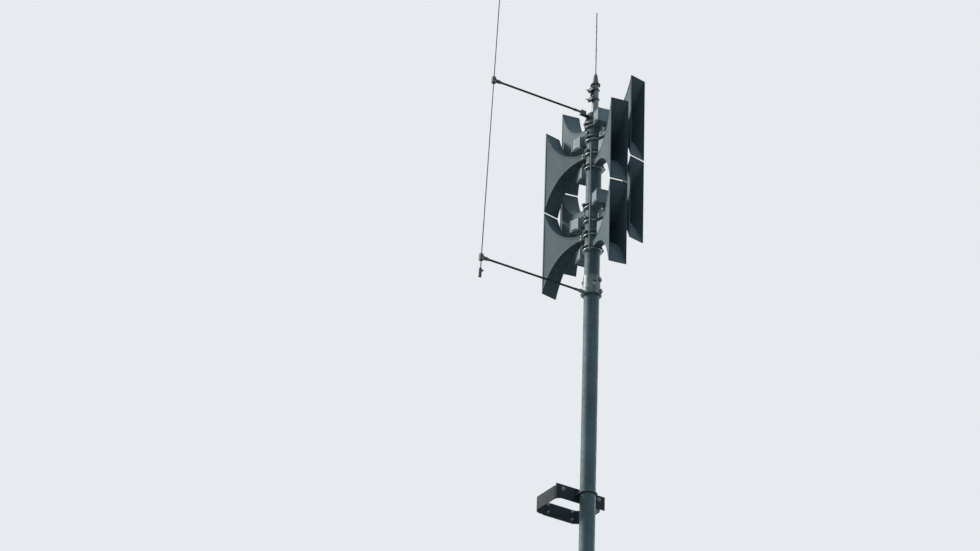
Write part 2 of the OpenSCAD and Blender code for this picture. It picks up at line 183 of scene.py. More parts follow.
def capped(points):
    """A grid that wraps in v, its first and last rings closed by one polygon each."""
    verts, faces = grid(points, wrap_v=True)
    nu, nv = points.shape[:2]
    faces.append(tuple(range(nv - 1, -1, -1)))
    faces.append(tuple((nu - 1) * nv + k for k in range(nv)))
    return verts, faces


def sweep(path, profile, normal, closed=False):
    """Carries a profile (across, along the normal) along a path: rings square to it, mitred at bends."""
    path = np.asarray(path, dtype=float)
    profile = np.asarray(profile, dtype=float)
    ahead = np.roll(path, -1, axis=0) - path
    behind = path - np.roll(path, 1, axis=0)
    if not closed:
        ahead[-1], behind[0] = behind[-1], ahead[0]
    ahead /= np.linalg.norm(ahead, axis=1)[:, None]
    behind /= np.linalg.norm(behind, axis=1)[:, None]
    tangent = ahead + behind
    tangent /= np.linalg.norm(tangent, axis=1)[:, None]
    normal = np.broadcast_to(np.asarray(normal, dtype=float), path.shape)
    side = np.cross(tangent, normal)
    side /= np.linalg.norm(side, axis=1)[:, None]
    lift = np.cross(side, tangent)
    stretch = 1.0 / np.clip(np.einsum("ij,ij->i", tangent, ahead), MITRE_LIMIT, 1.0)
    rings = (path[:, None, :] + profile[None, :, 0, None] * side[:, None, :] * stretch[:, None, None]
             + profile[None, :, 1, None] * lift[:, None, :])
    return grid(rings, wrap_u=True, wrap_v=True) if closed else capped(rings)


def circle(radius, count):
    """Points at equal angles on a circle."""
    t = np.linspace(0, 2 * np.pi, count, endpoint=False)
    return np.stack([radius * np.cos(t), radius * np.sin(t)], axis=-1)


def axes_for(direction):
    """Three square axes whose third is the given direction."""
    w = unit(direction)
    u = unit(np.cross(UP if abs(w[2]) < 0.9 else [1.0, 0.0, 0.0], w))
    return u, np.cross(w, u), w


def turned(profile, origin, direction, count):
    """A profile of (radius, height) turned about the axis through origin along direction."""
    profile = np.asarray(profile, dtype=float)
    u, v, w = axes_for(direction)
    t = np.linspace(0, 2 * np.pi, count, endpoint=False)
    spoke = np.cos(t)[:, None] * u + np.sin(t)[:, None] * v
    points = (np.asarray(origin, dtype=float) + profile[:, None, 1, None] * w
              + profile[:, None, 0, None] * spoke[None, :, :])
    return capped(points)


def hex_head(origin, direction, across, height):
    """A hexagon with chamfered top: rings of six points, the chamfer pulls the last ring in."""
    r = across / math.cos(math.pi / 6) / 2
    return turned(HEX_PROFILE * (r, height), origin, direction, 6)


def washer(origin, direction, radius, height=WASHER_T):
    """A thin disc turned from four points, its rim chamfered at both faces."""
    return turned(WASHER_PROFILE * (radius, height), origin, direction, 20)


def screw_end(origin, direction, radius, length):
    """Threaded end of a bolt: two rings a pitch, every second one drawn in, and a chamfered tip."""
    rings = max(4, int(length / THREAD_PITCH) * 2)
    h = np.linspace(0, length * THREAD_SHARE, rings)
    r = radius - THREAD_DEPTH * radius * (np.arange(rings) % 2)
    profile = np.column_stack([r, h])
    return turned(np.vstack([profile, [radius * TIP_RADIUS, length]]), origin, direction, 14)


def bolt_set(origin, direction, size, height=None, end=0.0):
    """Washer, hexagon and, where asked for, a threaded end, standing on one spot."""
    origin = np.asarray(origin, dtype=float)
    w = unit(direction)
    height = height or size * HEX_HEIGHT
    parts = [washer(origin, w, size * WASHER_RADIUS),
             hex_head(origin + WASHER_T * w, w, HEX_ACROSS * size, height)]
    if end:
        parts.append(screw_end(origin + (WASHER_T + height) * w, w, size * 0.5, end))
    return parts


def pan_head(origin, direction, radius):
    """Domed screw head, its height falling off as a quarter ellipse."""
    a = np.linspace(0, math.pi / 2, 6)[:-1]
    profile = np.column_stack([radius * np.cos(a), radius * DOME_HEIGHT * np.sin(a)])
    return turned(np.vstack([[radius, -DOME_SUNK], profile]), origin, direction, 14)


def rounded_loop(half_w, half_h, r):
    """Points of a rectangle whose corners are quarter circles of radius r."""
    corner = np.linspace(0, math.pi / 2, CORNER_POINTS)
    points = []
    for k, (sx, sy) in enumerate(((1, 1), (-1, 1), (-1, -1), (1, -1))):
        a = corner + k * math.pi / 2
        points.append(np.column_stack([sx * (half_w - r) + r * np.cos(a),
                                       sy * (half_h - r) + r * np.sin(a)]))
    return np.vstack(points)


def loop_bead(centre, out, across, half_w, half_h, r, radius):
    """A bead of round section carried round a rectangle with rounded corners."""
    loop = rounded_loop(half_w, half_h, r)
    return sweep(centre + loop[:, :1] * across + loop[:, 1:] * UP, circle(radius, 8), out, closed=True)


def slab(centre, *half_edges):
    """A box given by its centre and three half edges."""
    a, b, c = (np.asarray(edge, dtype=float) for edge in half_edges)
    ring = [-a - b, a - b, a + b, b - a]
    return capped(np.array([[np.asarray(centre) + corner + lift for corner in ring] for lift in (-c, c)]))


def joined(parts):
    """Several shapes as one list of points and faces."""
    verts, faces, base = [], [], 0
    for part_verts, part_faces in parts:
        verts.append(part_verts)
        faces.extend(tuple(i + base for i in face) for face in part_faces)
        base += len(part_verts)
    return np.vstack(verts), faces


def piece(name, parts, material):
    """Puts joined shapes in one object at the origin, turns the faces outwards and hangs it on the root."""
    verts, faces = joined(parts)
    mesh = bpy.data.meshes.new(name)
    mesh.from_pydata(verts.tolist(), [], faces)
    mesh.update()
    obj = bpy.data.objects.new(name, mesh)
    bpy.context.scene.collection.objects.link(obj)
    work = bmesh.new()
    work.from_mesh(mesh)
    bmesh.ops.recalc_face_normals(work, faces=work.faces)
    work.to_mesh(mesh)
    work.free()
    mesh.shade_smooth()
    mesh.set_sharp_from_angle(angle=math.radians(SHARP_ANGLE))
    mesh.materials.append(material)
    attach(obj, ROOT)


# Where things stand
def on_mast(x, y, z):
    """A point given from the mast's axis, in the frame's own coordinates."""
    return np.array([x, y - STANDOFF, z])


def column_frame(angle):
    """Outward direction and sideways direction of a horn column."""
    a = math.radians(angle)
    return np.array([math.cos(a), math.sin(a), 0.0]), np.array([-math.sin(a), math.cos(a), 0.0])


def flare(u):
    """Half height of a horn: constant along the neck, then growing exponentially with the distance."""
    return THROAT_HALF * np.exp(FLARE_RATE * np.maximum(0.0, u - FLARE_START))


def side_half(u):
    """Half width of a horn: it grows in a straight line."""
    return THROAT_HALF + SIDE_SLOPE * (u - COLLAR_R)


# Shader groups: kinds and numbers of sockets, then for each mask where it starts and where it is full
FLOAT = "NodeSocketFloat"
MIX_FACTOR, MIX_A, MIX_B, MIX_RESULT = 0, 6, 7, 2
PATCH_BAND = (0.32, 0.7)
GRAIN_BAND = (0.3, 0.72)
THIN_RUN_BAND = (0.52, 0.74)
WIDE_RUN_BAND = (0.55, 0.8)
RUN_PLACE_BAND = (0.4, 0.62)
FACES_UP_BAND = (0.25, 0.95)
FACES_DOWN_BAND = (0.1, 0.9)
DUST_BREAK_BAND = (0.25, 0.65)
SHADE_BREAK_BAND = (0.75, 0.3)
STAIN_BAND = (0.6, 0.75)
ALGAE_BAND = (0.45, 0.7)
RUST_BAND = (0.6, 0.72)

# The groups' heights, stretches and scales
GRAIN_HEIGHT = 0.7
PATCH_HEIGHT = 0.3
THIN_RUNS = (55, 55, 2.2)
WIDE_RUNS = (14, 14, 1.1)
RUN_PLACES = (2.5, 2.5, 1.6)
LIE_BREAK_SCALE = 22.0
CRYSTAL_BEND_SCALE = 30.0
CRYSTAL_BEND = (0.02, 0.02, 0.02)
FINE_CRYSTALS = 3.1


def new_group(name, inputs, outputs):
    """An empty shader group with named sockets, and its input and output nodes."""
    group = bpy.data.node_groups.new(name, "ShaderNodeTree")
    for label, default in inputs:
        socket = group.interface.new_socket(name=label, in_out="INPUT", socket_type=FLOAT)
        socket.default_value = default
    for label in outputs:
        group.interface.new_socket(name=label, in_out="OUTPUT", socket_type=FLOAT)
    return group, group.nodes.new("NodeGroupInput"), group.nodes.new("NodeGroupOutput")


def link(tree, a, b):
    """Joins an output to an input."""
    tree.links.new(a, b)


def feed(tree, value, socket):
    """Gives an input a plain value, or joins another node's output to it."""
    if isinstance(value, bpy.types.NodeSocket):
        link(tree, value, socket)
    else:
        socket.default_value = value


def node(tree, kind, **values):
    """A new node with the given settings."""
    made = tree.nodes.new(kind)
    for key, value in values.items():
        setattr(made, key, value)
    return made


def fill(tree, made, **values):
    """Feeds a node's inputs, each named with an underscore for each space, and gives the node back."""
    for label, value in values.items():
        feed(tree, value, made.inputs[label.replace("_", " ")])
    return made


def math_node(tree, operation, a, b, clamp=False):
    """One step of arithmetic on two values, each a number or another node's output."""
    made = node(tree, "ShaderNodeMath", operation=operation, use_clamp=clamp)
    feed(tree, a, made.inputs[0])
    feed(tree, b, made.inputs[1])
    return made.outputs[0]


def times(tree, a, b):
    """The product of two values."""
    return math_node(tree, "MULTIPLY", a, b)


def between(tree, mask, low, high):
    """Low where the mask is 0, high where it is 1, in a straight line between them."""
    return math_node(tree, "ADD", times(tree, mask, high - low), low)


def mix_color(tree, mask, a, b):
    """The first colour where the mask is 0, the second where it is 1."""
    made = node(tree, "ShaderNodeMix", data_type="RGBA", blend_type="MIX")
    feed(tree, mask, made.inputs[MIX_FACTOR])
    feed(tree, a, made.inputs[MIX_A])
    feed(tree, b, made.inputs[MIX_B])
    return made.outputs[MIX_RESULT]


def noise(tree, scale, detail, stretch=(1, 1, 1), roughness=0.55, offset=(0, 0, 0)):
    """Noise on Object coordinates that are first stretched and moved."""
    coords = node(tree, "ShaderNodeTexCoord").outputs["Object"]
    mapping = fill(tree, node(tree, "ShaderNodeMapping"), Scale=stretch, Location=offset, Vector=coords)
    made = fill(tree, node(tree, "ShaderNodeTexNoise"), Scale=scale, Detail=detail, Roughness=roughness,
                Vector=mapping.outputs[0])
    return made.outputs["Fac"]


def band(tree, value, low, high):
    """A mask that rises smoothly from 0 at the low value to 1 at the high one."""
    made = node(tree, "ShaderNodeMapRange", interpolation_type="SMOOTHSTEP")
    return fill(tree, made, From_Min=low, From_Max=high, Value=value).outputs["Result"]


def make_mottle():
    """Slow fading and fine mottling of a surface: out come a mask for each and their height."""
    group, start, end = new_group("mottle", [("Patch scale", 4.0), ("Grain scale", 90.0)],
                                  ["Patches", "Grain", "Height"])
    patches = noise(group, start.outputs["Patch scale"], detail=5, roughness=0.6)
    grain = noise(group, start.outputs["Grain scale"], detail=3, roughness=0.7)
    height = math_node(group, "ADD", times(group, grain, GRAIN_HEIGHT), times(group, patches, PATCH_HEIGHT))
    fill(group, end, Patches=band(group, patches, *PATCH_BAND), Grain=band(group, grain, *GRAIN_BAND),
         Height=height)
    return group


def make_runs():
    """Dirt and water runs: noise drawn out along Z, broken up by a slower noise."""
    group, start, end = new_group("runs", [("Scale", 1.0), ("Amount", 0.5)], ["Mask"])
    scale = start.outputs["Scale"]
    thin = noise(group, scale, detail=4, stretch=THIN_RUNS)
    wide = noise(group, scale, detail=3, stretch=WIDE_RUNS, offset=(3.1, 1.7, 0.4))
    where = noise(group, scale, detail=3, stretch=RUN_PLACES, offset=(7.3, 0.2, 5.0))
    both = math_node(group, "MAXIMUM", band(group, thin, *THIN_RUN_BAND), band(group, wide, *WIDE_RUN_BAND))
    mask = times(group, both, band(group, where, *RUN_PLACE_BAND))
    fill(group, end, Mask=math_node(group, "MULTIPLY", mask, start.outputs["Amount"], clamp=True))
    return group


def make_lie():
    """How a face lies: dust gathers on what faces up, and painted shade darkens what faces down."""
    group, start, end = new_group("lie", [("Dust", 0.5), ("Grime", 0.5)], ["Dust mask", "Grime mask"])
    normal = node(group, "ShaderNodeNewGeometry").outputs["Normal"]
    parts = node(group, "ShaderNodeSeparateXYZ")
    link(group, normal, parts.inputs[0])
    broken = noise(group, LIE_BREAK_SCALE, detail=4)
    up = band(group, parts.outputs["Z"], *FACES_UP_BAND)
    down = band(group, times(group, parts.outputs["Z"], -1.0), *FACES_DOWN_BAND)
    dust = times(group, up, band(group, broken, *DUST_BREAK_BAND))
    # Painted shade: faces that point down, broken up by noise
    underside_shade = times(group, down, band(group, broken, *SHADE_BREAK_BAND))
    fill(group, end, Dust_mask=times(group, dust, start.outputs["Dust"]),
         Grime_mask=times(group, underside_shade, start.outputs["Grime"]))
    return group


def make_spangle():
    """Zinc crystals: cells of slightly different grey, large and fine, their edges bent by noise."""
    group, start, end = new_group("spangle", [("Scale", 60.0)], ["Cells", "Fine"])
    coords = node(group, "ShaderNodeTexCoord").outputs["Object"]
    bend = fill(group, node(group, "ShaderNodeTexNoise"), Scale=CRYSTAL_BEND_SCALE, Vector=coords)
    add = node(group, "ShaderNodeVectorMath", operation="MULTIPLY_ADD")
    for value, socket in zip((bend.outputs["Color"], CRYSTAL_BEND, coords), add.inputs):
        feed(group, value, socket)
    for label, factor in (("Cells", 1.0), ("Fine", FINE_CRYSTALS)):
        scale = times(group, start.outputs["Scale"], factor)
        cells = fill(group, node(group, "ShaderNodeTexVoronoi"), Scale=scale, Vector=add.outputs[0])
        parts = node(group, "ShaderNodeSeparateColor")
        link(group, cells.outputs["Color"], parts.inputs[0])
        link(group, parts.outputs["Red"], end.inputs[label])
    return group


MOTTLE, RUNS, LIE, SPANGLE = make_mottle(), make_runs(), make_lie(), make_spangle()


def use(tree, group, **values):
    """Places a shader group and fills its inputs."""
    return fill(tree, node(tree, "ShaderNodeGroup", node_tree=group), **values)


# Finishes: what each kind of surface gathers, and how deep its grain is as (strength, distance)
COAT_GRAIN = 110.0
COAT_DUST = 0.35
COAT_BUMP = (0.25, 0.0012)
DUST_COLOR = (0.36, 0.36, 0.33)
STAIN_SCALE = 17.0
RUN_ROUGHNESS = 0.15
ZINC_PATCHES = 5.0
ZINC_GRAIN = 160.0
ZINC_RUNS = 1.3
ZINC_DUST = 0.25
ZINC_BUMP = (0.18, 0.0008)
ALGAE_COLOR = (0.075, 0.115, 0.07)
ALGAE_SCALE = 2.3
RUST_COLOR = (0.16, 0.07, 0.03)
RUST_SCALE = 26.0
MOULDED_PATCHES = 9.0
MOULDED_DIRT = 0.3
MOULDED_BUMP = (0.2, 0.0006)
MOULDED_DUST_COLOR = (0.28, 0.28, 0.26)


def new_material(name, metallic, specular):
    """A material with its shader, and the two values of it that don't change over the surface."""
    material = bpy.data.materials.new(name)
    material.use_nodes = True
    tree = material.node_tree
    surface = fill(tree, tree.nodes["Principled BSDF"], Metallic=metallic, Specular_IOR_Level=specular)
    return material, tree, surface


def bump(tree, surface, height, strength, distance):
    """Tilts the surface's normal by a height."""
    made = fill(tree, node(tree, "ShaderNodeBump"), Strength=strength, Distance=distance, Height=height)
    fill(tree, surface, Normal=made.outputs[0])


def shade(rgb, dim=1.0):
    """A colour times a factor, with its alpha."""
    return (rgb[0] * dim, rgb[1] * dim, rgb[2] * dim, 1.0)


def layer(tree, color, mask, rgb, share=None, dim=1.0):
    """A colour with another one, dimmed, laid over it by a mask, or by a share of the mask."""
    if share is not None:
        mask = times(tree, mask, share)
    return mix_color(tree, mask, color, shade(rgb, dim))


def coated(name, base, faded, dirt_and_shade, rough, patch=3.5, runs=0.6, underside_shade=0.7, stain=None, stain_amount=0.0,
           specular=0.4):
    """Painted or powder-coated sheet: base colour, chalky fading, runs of dirt, painted shade underneath in
    the dirt's colour.
    """
    material, tree, surface = new_material(name, 0.0, specular)
    mottle = use(tree, MOTTLE, Patch_scale=patch, Grain_scale=COAT_GRAIN)
    run = use(tree, RUNS, Scale=1.0, Amount=runs)
    lie = use(tree, LIE, Dust=COAT_DUST, Grime=underside_shade)
    color = mix_color(tree, mottle.outputs["Patches"], shade(base), shade(faded))
    color = layer(tree, color, mottle.outputs["Grain"], base, share=0.22, dim=0.72)
    color = layer(tree, color, run.outputs["Mask"], dirt_and_shade)
    if stain:
        spots = noise(tree, STAIN_SCALE, detail=6, roughness=0.65, offset=(2.0, 5.0, 1.0))
        color = layer(tree, color, band(tree, spots, *STAIN_BAND), stain, share=stain_amount)
    # Painted shade: the dirt's colour, dimmed, on faces that point down
    color = layer(tree, color, lie.outputs["Grime mask"], dirt_and_shade, dim=0.8)
    color = layer(tree, color, lie.outputs["Dust mask"], DUST_COLOR)
    worn = between(tree, mottle.outputs["Grain"], *rough)
    roughness = math_node(tree, "ADD", worn, times(tree, run.outputs["Mask"], RUN_ROUGHNESS))
    fill(tree, surface, Base_Color=color, Roughness=roughness)
    bump(tree, surface, mottle.outputs["Height"], *COAT_BUMP)
    return material


def galvanised(name, base, bright, dark, scale, metallic, rough, runs=0.5, underside_shade=0.6, rust=0.0, green=0.0,
               specular=0.5):
    """Hot-dip zinc: crystals, dull patches, runs, rust or algae where it is old, and painted shade on what
    faces down.
    """
    material, tree, surface = new_material(name, metallic, specular)
    cells = use(tree, SPANGLE, Scale=scale)
    mottle = use(tree, MOTTLE, Patch_scale=ZINC_PATCHES, Grain_scale=ZINC_GRAIN)
    run = use(tree, RUNS, Scale=ZINC_RUNS, Amount=runs)
    lie = use(tree, LIE, Dust=ZINC_DUST, Grime=underside_shade)
    color = mix_color(tree, cells.outputs["Cells"], shade(base, dim=0.86), shade(bright))
    color = layer(tree, color, cells.outputs["Fine"], base, share=0.3)
    color = layer(tree, color, mottle.outputs["Patches"], dark, share=0.55)
    color = layer(tree, color, run.outputs["Mask"], dark, dim=0.6)
    if green:
        film = noise(tree, ALGAE_SCALE, detail=5, stretch=(3, 3, 0.8), offset=(4, 1, 2))
        color = layer(tree, color, band(tree, film, *ALGAE_BAND), ALGAE_COLOR, share=green)
    if rust:
        spots = noise(tree, RUST_SCALE, detail=6, roughness=0.7, offset=(1, 2, 3))
        color = layer(tree, color, band(tree, spots, *RUST_BAND), RUST_COLOR, share=rust)
    # Painted shade: the dark zinc, dimmed, on faces that point down
    color = layer(tree, color, lie.outputs["Grime mask"], dark, dim=0.5)
    fill(tree, surface, Base_Color=color, Roughness=between(tree, cells.outputs["Cells"], *rough))
    bump(tree, surface, mottle.outputs["Height"], *ZINC_BUMP)
    return material


def moulded(name, base, worn, rough, grain=300.0, specular=0.45):
    """Glass-fibre rod, rubber or plastic: fine grain, sun-bleached patches, dust on top."""
    material, tree, surface = new_material(name, 0.0, specular)
    mottle = use(tree, MOTTLE, Patch_scale=MOULDED_PATCHES, Grain_scale=grain)
    lie = use(tree, LIE, Dust=MOULDED_DIRT, Grime=MOULDED_DIRT)
    color = mix_color(tree, mottle.outputs["Patches"], shade(base), shade(worn))
    color = layer(tree, color, mottle.outputs["Grain"], base, share=0.3, dim=0.6)
    color = layer(tree, color, lie.outputs["Dust mask"], MOULDED_DUST_COLOR)
    fill(tree, surface, Base_Color=color, Roughness=between(tree, mottle.outputs["Grain"], *rough))
    bump(tree, surface, mottle.outputs["Height"], *MOULDED_BUMP)
    return material


HORN_PAINT = coated("weathered horn coating", (0.120, 0.178, 0.188), (0.166, 0.226, 0.229),
                    (0.045, 0.063, 0.062), rough=(0.52, 0.72), runs=0.55, underside_shade=0.75,
                    stain=(0.10, 0.085, 0.055), stain_amount=0.35, specular=0.2)
EDGE_PAINT = coated("rubbed sheet edges", (0.150, 0.205, 0.212), (0.205, 0.262, 0.264), (0.07, 0.09, 0.09),
                    rough=(0.55, 0.75), runs=0.3, underside_shade=0.5, specular=0.2)
DRIVER_PAINT = coated("light driver coating", (0.34, 0.40, 0.42), (0.44, 0.49, 0.505), (0.11, 0.12, 0.115),
                      rough=(0.45, 0.65), patch=6.0, runs=0.45, underside_shade=0.8,
                      stain=(0.17, 0.12, 0.07), stain_amount=0.25, specular=0.25)
# Pale zinc on the sleeves' lips, much lighter than the sleeves
LIP_ZINC = galvanised("pale lip zinc", (0.46, 0.51, 0.50), (0.60, 0.64, 0.63), (0.26, 0.29, 0.29),
                      scale=200.0, metallic=0.35, rough=(0.35, 0.55), runs=0.2, underside_shade=0.2)
CONDUIT_GREY = galvanised("conduit zinc", (0.21, 0.25, 0.24), (0.30, 0.34, 0.33), (0.10, 0.12, 0.115),
                          scale=160.0, metallic=0.2, rough=(0.5, 0.7), runs=0.3)
# A near-black bead round each mouth, darkening its edge
DARK_MOUTH_BEAD = moulded("dark mouth bead", (0.030, 0.038, 0.042), (0.055, 0.065, 0.070), (0.5, 0.7))
# Near-black slabs in the drivers' slots and discs on the collar's waist: painted shade of slots and bores
PAINTED_HOLE_SHADE = moulded("painted shade in slots and bores", (0.006, 0.007, 0.007), (0.012, 0.013, 0.013), (0.8, 0.9), specular=0.1)
BOOT_GREY = moulded("antenna boot", (0.155, 0.170, 0.165), (0.230, 0.245, 0.240), (0.45, 0.6))
CLAMP_BLACK = moulded("blackened clamp", (0.022, 0.026, 0.028), (0.040, 0.046, 0.048), (0.8, 0.9),
                      specular=0.1)
# Bright zinc on the lower collar's bolts and washers, lightened near white as a painted highlight
HIGHLIT_BOLT_ZINC = galvanised("near-white bolt zinc", (0.72, 0.75, 0.75), (0.84, 0.86, 0.86), (0.50, 0.52, 0.52),
                      scale=260.0, metallic=0.1, rough=(0.3, 0.45), runs=0.0, underside_shade=0.1)
GASKET = moulded("gasket rubber", (0.028, 0.029, 0.030), (0.045, 0.045, 0.044), (0.7, 0.85))
COLLAR_METAL = galvanised("aged collar casting", (0.15, 0.19, 0.195), (0.22, 0.26, 0.265),
                          (0.07, 0.095, 0.10), scale=140.0, metallic=0.2, rough=(0.5, 0.7), underside_shade=0.7)
COLLAR_ZINC = galvanised("bright collar zinc", (0.20, 0.25, 0.24), (0.32, 0.38, 0.36), (0.07, 0.09, 0.085),
                         scale=70.0, metallic=0.4, rough=(0.35, 0.55), runs=0.6, underside_shade=0.7)
MAST_ZINC = galvanised("weathered mast zinc", (0.115, 0.190, 0.216), (0.175, 0.260, 0.288),
                       (0.050, 0.096, 0.112), scale=45.0, metallic=0.12, rough=(0.58, 0.78), runs=0.75,
                       underside_shade=0.5, green=0.5)
POLE_ZINC = galvanised("pole zinc", (0.20, 0.24, 0.25), (0.29, 0.325, 0.335), (0.10, 0.12, 0.13),
                       scale=80.0, metallic=0.35, rough=(0.4, 0.62))
ANTENNA_BLACK = moulded("antenna base", (0.085, 0.092, 0.098), (0.155, 0.165, 0.17), (0.45, 0.6))
ROD_METAL = galvanised("drawn rod", (0.15, 0.16, 0.17), (0.21, 0.22, 0.23), (0.07, 0.075, 0.08),
                       scale=220.0, metallic=0.45, rough=(0.36, 0.55), runs=0.3)
CLAMP_METAL = galvanised("aged clamp zinc", (0.085, 0.095, 0.09), (0.14, 0.15, 0.145), (0.035, 0.038, 0.035),
                         scale=120.0, metallic=0.3, rough=(0.5, 0.72), rust=0.4)
ARM_ROD = moulded("glass fibre rod", (0.007, 0.008, 0.011), (0.018, 0.019, 0.023), (0.45, 0.62), 420.0,
                  specular=0.2)
# Weathered, rusted zinc on the wall brackets, its colour darkened as painted shade
SHADED_BRACKET_ZINC = galvanised("bracket zinc darkened as shade", (0.050, 0.068, 0.066), (0.086, 0.108, 0.105), (0.028, 0.036, 0.034),
                          scale=60.0, metallic=0.08, rough=(0.6, 0.8), runs=0.6, rust=0.45, specular=0.15)
PLATE_ZINC = galvanised("plate zinc", (0.28, 0.30, 0.30), (0.38, 0.40, 0.40), (0.14, 0.15, 0.15),
                        scale=50.0, metallic=0.35, rough=(0.42, 0.62), runs=0.5, rust=0.15)
BOLT_ZINC = galvanised("plated bolts", (0.36, 0.38, 0.39), (0.48, 0.50, 0.51), (0.18, 0.19, 0.19),
                       scale=260.0, metallic=0.4, rough=(0.42, 0.6), runs=0.2, rust=0.2)
WELD = galvanised("zinc over weld", (0.15, 0.165, 0.16), (0.26, 0.275, 0.27), (0.07, 0.075, 0.07),
                  scale=300.0, metallic=0.3, rough=(0.5, 0.75), rust=0.4)

# The finish of each slot, and the nodes that have one of their own
FINISHES = {
    "horn_paint": HORN_PAINT, "driver_paint": DRIVER_PAINT, "collar_metal": COLLAR_METAL,
    "mast_zinc": MAST_ZINC, "pole_zinc": POLE_ZINC, "antenna_base": ANTENNA_BLACK, "rod_metal": ROD_METAL,
    "clamp_metal": CLAMP_METAL, "arm_glassfibre": ARM_ROD, "bracket_zinc": SHADED_BRACKET_ZINC,
    "bolt_zinc": BOLT_ZINC,
}
# The U-bolts take the dark clamp zinc, whose darkness on them is partly painted shade
OWN_FINISHES = {
    "wall_plate_upper": PLATE_ZINC, "wall_plate_lower": PLATE_ZINC, "arm_collar_lower": COLLAR_ZINC,
    "ubolt_upper": CLAMP_METAL, "ubolt_lower": CLAMP_METAL, "antenna_whip": POLE_ZINC,
}
slot_of = {entry["node"]: entry["material_slot"] for entry in frame["record"]["subparts"]}
for name, obj in NODES.items():
    finish = OWN_FINISHES.get(name, FINISHES[slot_of[name]])
    if not obj.material_slots:
        obj.data.materials.append(finish)
    for entry in obj.material_slots:
        entry.material = finish


# Horns: flanged seams with their rivets, a dark bead round the mouth, bolts through the neck
SEAM_R = 0.0019
SEAM_SPAN = (COLLAR_R + 0.016, HORN_REACH - HEM_W - 0.004)
SEAM_POINTS = 56
STRIP_W = 0.012
STRIP_T = 0.0016
STRIP_EDGE_T = STRIP_T * 0.6
STRIP_GAP = 0.0012
STRIP_SUNK = 0.0004
STRIP_BEVEL = 0.001
RIVET_SPAN = (COLLAR_R + 0.030, HORN_REACH - HEM_W - 0.012)
RIVET_STEPS = 400
RIVET_PITCH = 0.055
RIVET_R = 0.0034
MOUTH_BEAD_R = 0.0035
MOUTH_BEAD_CORNER = 0.004
MOUTH_BEAD_BACK = 0.001
NECK_BOLT = (0.007, 0.0045)
NECK_BOLT_U = 0.108
NECK_BOLT_LIFT = 0.014
NECK_BOLT_OFF = 0.0002


def seam_path(z, angle, s, v, inset, u):
    """Points along one edge of a flat side, moved inwards square to the exponential flare, and its normal."""
    out, across = column_frame(angle)
    slope = v * FLARE_RATE * flare(u) * (u > FLARE_START)
    steep = np.sqrt(1 + slope ** 2)
    in_u = slope * v / steep * inset
    in_z = -v * inset / steep
    at_u = u + in_u
    centre = on_mast(0, 0, z)
    path = (centre + at_u[:, None] * out + (s * side_half(at_u))[:, None] * across
            + (v * flare(u) + in_z)[:, None] * UP)
    return path, unit(s * across - SIDE_SLOPE * out)


def horn_seams(z, angle):
    """Four bent-over edges and the flat flanges beside them, where curved sheets meet the flat sides."""
    u = np.linspace(*SEAM_SPAN, SEAM_POINTS)
    half = STRIP_W / 2
    flat = [(-half, -STRIP_SUNK), (half, -STRIP_SUNK), (half, STRIP_EDGE_T), (half - STRIP_BEVEL, STRIP_T),
            (STRIP_BEVEL - half, STRIP_T), (-half, STRIP_EDGE_T)]
    parts = []
    for s, v in CORNERS:
        path, normal = seam_path(z, angle, s, v, 0.0, u)
        parts.append(sweep(path, circle(SEAM_R, 8), normal))
        path, normal = seam_path(z, angle, s, v, half + STRIP_GAP, u)
        parts.append(sweep(path, flat, normal))
    return parts


def seam_rivets(z, angle):
    """Rivets along the flanges, at equal distances along the curve."""
    u = np.linspace(*RIVET_SPAN, RIVET_STEPS)
    parts = []
    for s, v in CORNERS:
        path, normal = seam_path(z, angle, s, v, STRIP_W / 2 + STRIP_GAP, u)
        run = np.concatenate([[0], np.cumsum(np.linalg.norm(np.diff(path, axis=0), axis=1))])
        for at in np.arange(0, run[-1], RIVET_PITCH):
            spot = np.array([np.interp(at, run, path[:, k]) for k in range(3)])
            parts.append(pan_head(spot + STRIP_T * normal, normal, RIVET_R))
    return parts


def mouth_edge(z, angle):
    """Dark bead round the mouth's edge: a small circle carried round a rectangle with rounded corners."""
    out, across = column_frame(angle)
    centre = on_mast(0, 0, z) + (HORN_REACH - MOUTH_BEAD_BACK) * out
    return [loop_bead(centre, out, across, MOUTH_SIDE + HEM_T - MOUTH_BEAD_R, MOUTH_HALF - MOUTH_BEAD_R, MOUTH_BEAD_CORNER,
                      MOUTH_BEAD_R)]


def neck_bolts(z, angle):
    """Bolts through the neck's flat sides, outside the sleeve."""
    out, across = column_frame(angle)
    centre = on_mast(0, 0, z)
    parts = []
    for s in SIDES:
        spot = centre + NECK_BOLT_U * out + s * (side_half(NECK_BOLT_U) + NECK_BOLT_OFF) * across
        for lift in (-NECK_BOLT_LIFT, NECK_BOLT_LIFT):
            parts += bolt_set(spot + lift * UP, s * across, *NECK_BOLT)
    return parts


for z, angle, tail in PLACES:
    piece("seams_" + tail, horn_seams(z, angle), EDGE_PAINT)
    piece("seam_rivets_" + tail, seam_rivets(z, angle), EDGE_PAINT)
    piece("mouth_edge_" + tail, mouth_edge(z, angle), DARK_MOUTH_BEAD)
    piece("neck_bolts_" + tail, neck_bolts(z, angle), BOLT_ZINC)


# Drivers: gasket, screws and raised frame on the cover, painted shade in the slots, sealed duct
GASKET_IN = 0.0030
BEAD_R = 0.0016
COVER_SCREW_IN = 0.014
COVER_SCREW_R = 0.0048
FRAME_IN = 0.024
FRAME_CORNER = 0.010
SLOT_IN = 0.0082
SLOT_HALF_L = 0.0334
SLOT_HALF_H = 0.0064
SLOT_HALF_T = 0.0006
SEALANT_HALF = THROAT_HALF + 0.0005
SEALANT_CORNER = 0.003
SEALANT_R = 0.0024
SEALANT_US = (DRIVER_BACK - 0.001, RIB_R + 0.004)


